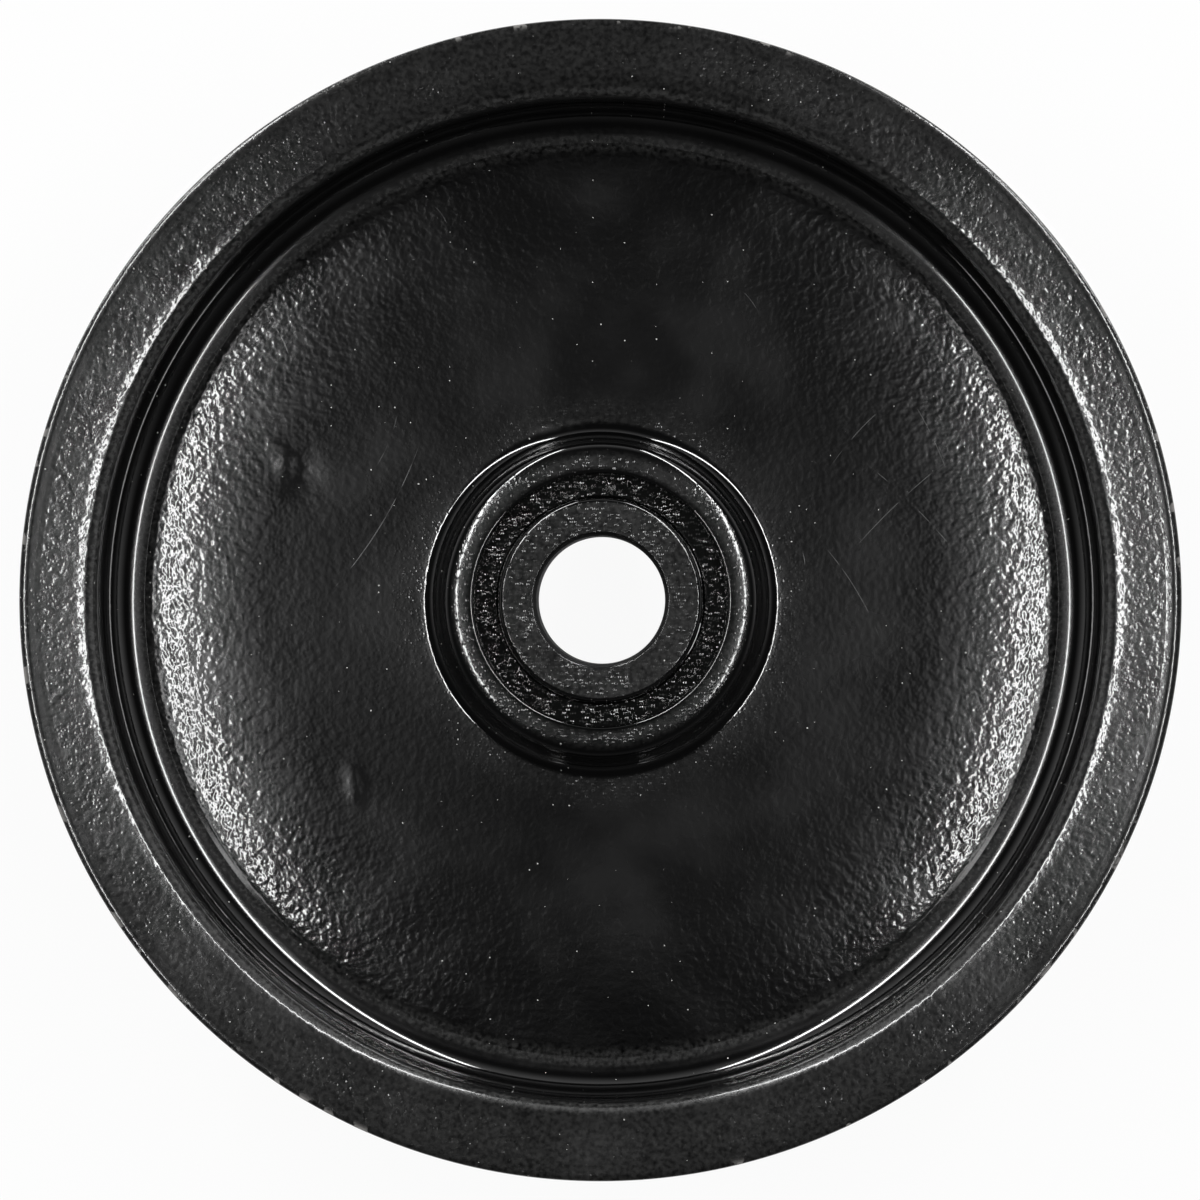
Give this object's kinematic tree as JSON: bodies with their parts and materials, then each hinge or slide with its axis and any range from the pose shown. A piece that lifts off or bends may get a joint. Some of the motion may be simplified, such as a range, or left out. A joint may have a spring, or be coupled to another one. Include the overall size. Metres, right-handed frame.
{
  "type": "flat idler pulley",
  "caption": "Flat belt idler pulley of two pressed steel halves, black painted, with flared flanges, a dished web and a sealed ball bearing held in a drawn pocket; plain round bore.",
  "frame": {"origin": "middle of the bearing bore, on the seam plane between the two halves", "axes": "+Z along the bore towards the front face; X and Y any two directions across it"},
  "size_m": [0.1524, 0.1524, 0.035],
  "materials": {
    "black_paint": "glossy black paint with orange peel",
    "seal_rubber": "overpainted rubber, rough",
    "bearing_steel": "ground and polished",
    "cage_steel": "pressed strip, dull"
  },
  "bodies": {
    "inner_race": {"bearing_inner_ring": "black_paint"},
    "sheave": {"front_sheave_half": "black_paint", "back_sheave_half": "black_paint", "bearing_outer_ring": "bearing_steel", "front_seal": "seal_rubber", "back_seal": "seal_rubber"},
    "cage": {"cage_front": "cage_steel", "cage_back": "cage_steel", "cage_rivets": "cage_steel"},
    "ball_1": {"ball_1": "bearing_steel"},
    "ball_2": {"ball_2": "bearing_steel"},
    "ball_3": {"ball_3": "bearing_steel"},
    "ball_4": {"ball_4": "bearing_steel"},
    "ball_5": {"ball_5": "bearing_steel"},
    "ball_6": {"ball_6": "bearing_steel"},
    "ball_7": {"ball_7": "bearing_steel"},
    "ball_8": {"ball_8": "bearing_steel"}
  },
  "joints": [
    {"name": "pulley_spin", "type": "hinge", "parent": "inner_race", "child": "sheave", "pos_m": [0, 0, 0], "axis": [0, 0, 1], "continuous": true},
    {"name": "cage_orbit", "type": "hinge", "parent": "inner_race", "child": "cage", "pos_m": [0, 0, 0], "axis": [0, 0, 1], "continuous": true},
    {"name": "ball_1_spin", "type": "hinge", "parent": "cage", "child": "ball_1", "pos_m": [0.0145, 0, 0], "axis": [0, 0, 1], "continuous": true},
    {"name": "ball_2_spin", "type": "hinge", "parent": "cage", "child": "ball_2", "pos_m": [0.01025, 0.01025, 0], "axis": [0, 0, 1], "continuous": true},
    {"name": "ball_3_spin", "type": "hinge", "parent": "cage", "child": "ball_3", "pos_m": [0, 0.0145, 0], "axis": [0, 0, 1], "continuous": true},
    {"name": "ball_4_spin", "type": "hinge", "parent": "cage", "child": "ball_4", "pos_m": [-0.01025, 0.01025, 0], "axis": [0, 0, 1], "continuous": true},
    {"name": "ball_5_spin", "type": "hinge", "parent": "cage", "child": "ball_5", "pos_m": [-0.0145, 0, 0], "axis": [0, 0, 1], "continuous": true},
    {"name": "ball_6_spin", "type": "hinge", "parent": "cage", "child": "ball_6", "pos_m": [-0.01025, -0.01025, 0], "axis": [0, 0, 1], "continuous": true},
    {"name": "ball_7_spin", "type": "hinge", "parent": "cage", "child": "ball_7", "pos_m": [0, -0.0145, 0], "axis": [0, 0, 1], "continuous": true},
    {"name": "ball_8_spin", "type": "hinge", "parent": "cage", "child": "ball_8", "pos_m": [0.01025, -0.01025, 0], "axis": [0, 0, 1], "continuous": true}
  ],
  "couplings": [
    {"joint": "cage_orbit", "follows": "pulley_spin", "ratio": 0.61633},
    {"joint": "ball_1_spin", "follows": "pulley_spin", "ratio": 2.0328},
    {"joint": "ball_2_spin", "follows": "pulley_spin", "ratio": 2.0328},
    {"joint": "ball_3_spin", "follows": "pulley_spin", "ratio": 2.0328},
    {"joint": "ball_4_spin", "follows": "pulley_spin", "ratio": 2.0328},
    {"joint": "ball_5_spin", "follows": "pulley_spin", "ratio": 2.0328},
    {"joint": "ball_6_spin", "follows": "pulley_spin", "ratio": 2.0328},
    {"joint": "ball_7_spin", "follows": "pulley_spin", "ratio": 2.0328},
    {"joint": "ball_8_spin", "follows": "pulley_spin", "ratio": 2.0328}
  ]
}
